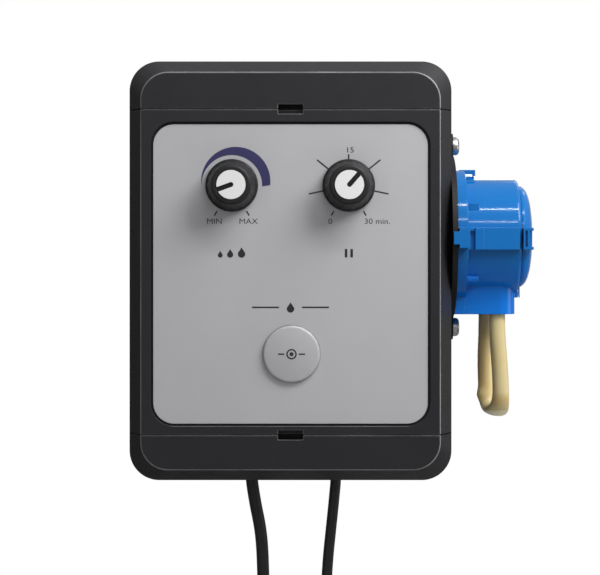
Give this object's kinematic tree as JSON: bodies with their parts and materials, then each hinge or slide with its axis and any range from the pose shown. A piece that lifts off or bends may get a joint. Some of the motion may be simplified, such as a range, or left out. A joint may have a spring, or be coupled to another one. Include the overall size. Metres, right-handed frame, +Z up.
{
  "type": "peristaltic dosing pump",
  "caption": "Wall-mounted dosing pump: black control box with a satin panel, two dials and a push button, and a blue peristaltic tube pump head on its right side.",
  "frame": {"origin": "on the wall plane, at the middle of the four wall screw holes", "axes": "+Y into the wall, so the front faces -Y; +X to the pump head's side; +Z up"},
  "size_m": [0.2191, 0.1049, 0.426],
  "materials": {
    "box_black": "fine moulded texture, satin black",
    "panel_satin": "silver grey satin lacquer",
    "gasket_rubber": "matt black rubber",
    "steel": "zinc plated steel",
    "knob_black": "satin black moulding",
    "cap_white": "off-white cap",
    "moulded_black": "black moulding",
    "board_green": "green laminate",
    "core_iron": "laminated iron",
    "coil_copper": "taped copper winding",
    "gear_nylon": "natural nylon",
    "bush_brass": "sintered bronze",
    "head_blue": "glossy royal blue moulding",
    "tube_tan": "beige elastomer tube, slightly translucent",
    "cable_black": "black flexible cable sheath"
  },
  "bodies": {
    "box": {"back_shell": "box_black", "board_screws": "steel", "button_dome": "gasket_rubber", "button_guide": "moulded_black", "cable_clamps": "moulded_black", "cable_ties": "moulded_black", "circuit_board": "board_green", "clamp_screws": "steel", "flange_nuts": "steel", "flange_screws": "steel", "front_lid": "box_black", "front_panel": "panel_satin", "gearbox_case": "moulded_black", "gearbox_cover": "moulded_black", "gearbox_screws": "steel", "head_base": "head_blue", "head_housing": "head_blue", "hose_loop": "tube_tan", "idler_pin": "steel", "left_pot_body": "steel", "lid_gasket": "gasket_rubber", "lid_screws": "steel", "mains_coil": "cable_black", "mains_grommet": "gasket_rubber", "mains_lead": "cable_black", "mains_plug": "moulded_black", "motor_can": "steel", "pot_nuts": "steel", "pump_flange": "moulded_black", "pump_tube": "tube_tan", "push_switch": "moulded_black", "right_pot_body": "steel", "shaft_bush": "bush_brass", "signal_cable": "cable_black", "signal_coil": "cable_black", "signal_connector": "moulded_black", "signal_grommet": "gasket_rubber", "terminal_block": "board_green", "transformer_coil": "coil_copper", "transformer_core": "core_iron", "tube_connectors": "gear_nylon"},
    "top_cover": {"top_end_cover": "box_black"},
    "bottom_cover": {"bottom_end_cover": "box_black"},
    "left_dial": {"left_knob": "knob_black", "left_knob_cap": "cap_white", "left_pot_shaft": "steel"},
    "right_dial": {"right_knob": "knob_black", "right_knob_cap": "cap_white", "right_pot_shaft": "steel"},
    "button": {"push_button": "panel_satin"},
    "motor_rotor": {"motor_pinion": "gear_nylon"},
    "idler": {"idler_gear": "gear_nylon"},
    "pump_rotor": {"output_gear": "gear_nylon", "drive_shaft": "steel", "rotor": "gear_nylon", "roller_pins": "steel"},
    "roller_a": {"roller_1": "gear_nylon"},
    "roller_b": {"roller_2": "gear_nylon"},
    "roller_c": {"roller_3": "gear_nylon"},
    "head_lid": {"head_cover": "head_blue"}
  },
  "joints": [
    {"name": "top_cover_off", "type": "slide", "parent": "box", "child": "top_cover", "axis": [0, -1, 0], "range_m": [0, 0.03]},
    {"name": "bottom_cover_off", "type": "slide", "parent": "box", "child": "bottom_cover", "axis": [0, -1, 0], "range_m": [0, 0.03]},
    {"name": "left_knob_turn", "type": "hinge", "parent": "box", "child": "left_dial", "pos_m": [-0.0294, -0.09, 0.0428], "axis": [0, 1, 0], "range_deg": [-40, 260]},
    {"name": "right_knob_turn", "type": "hinge", "parent": "box", "child": "right_dial", "pos_m": [0.0291, -0.09, 0.0428], "axis": [0, 1, 0], "range_deg": [-191, 109]},
    {"name": "button_press", "type": "slide", "parent": "box", "child": "button", "axis": [0, 1, 0], "range_m": [0, 0.0012], "stiffness_N_per_m": 800, "springref_m": -0.001, "deforming": ["button_dome"]},
    {"name": "rotor_spin", "type": "hinge", "parent": "box", "child": "pump_rotor", "pos_m": [0.1, -0.045, 0.0175], "axis": [1, 0, 0], "continuous": true},
    {"name": "idler_spin", "type": "hinge", "parent": "box", "child": "idler", "pos_m": [0.07, -0.045, 0.0379], "axis": [1, 0, 0], "continuous": true},
    {"name": "motor_spin", "type": "hinge", "parent": "box", "child": "motor_rotor", "pos_m": [0.06, -0.045, 0.0175], "axis": [1, 0, 0], "continuous": true},
    {"name": "roller_a_spin", "type": "hinge", "parent": "pump_rotor", "child": "roller_a", "pos_m": [0.1, -0.045, 0.0331], "axis": [1, 0, 0], "continuous": true},
    {"name": "roller_b_spin", "type": "hinge", "parent": "pump_rotor", "child": "roller_b", "pos_m": [0.1, -0.05851, 0.0097], "axis": [1, 0, 0], "continuous": true},
    {"name": "roller_c_spin", "type": "hinge", "parent": "pump_rotor", "child": "roller_c", "pos_m": [0.1, -0.03149, 0.0097], "axis": [1, 0, 0], "continuous": true},
    {"name": "head_cover_off", "type": "slide", "parent": "box", "child": "head_lid", "axis": [1, 0, 0], "range_m": [0, 0.03]}
  ],
  "couplings": [
    {"joint": "idler_spin", "follows": "rotor_spin", "ratio": -3},
    {"joint": "motor_spin", "follows": "rotor_spin", "ratio": 9},
    {"joint": "roller_a_spin", "follows": "rotor_spin", "ratio": -3.6},
    {"joint": "roller_b_spin", "follows": "rotor_spin", "ratio": -3.6},
    {"joint": "roller_c_spin", "follows": "rotor_spin", "ratio": -3.6}
  ]
}
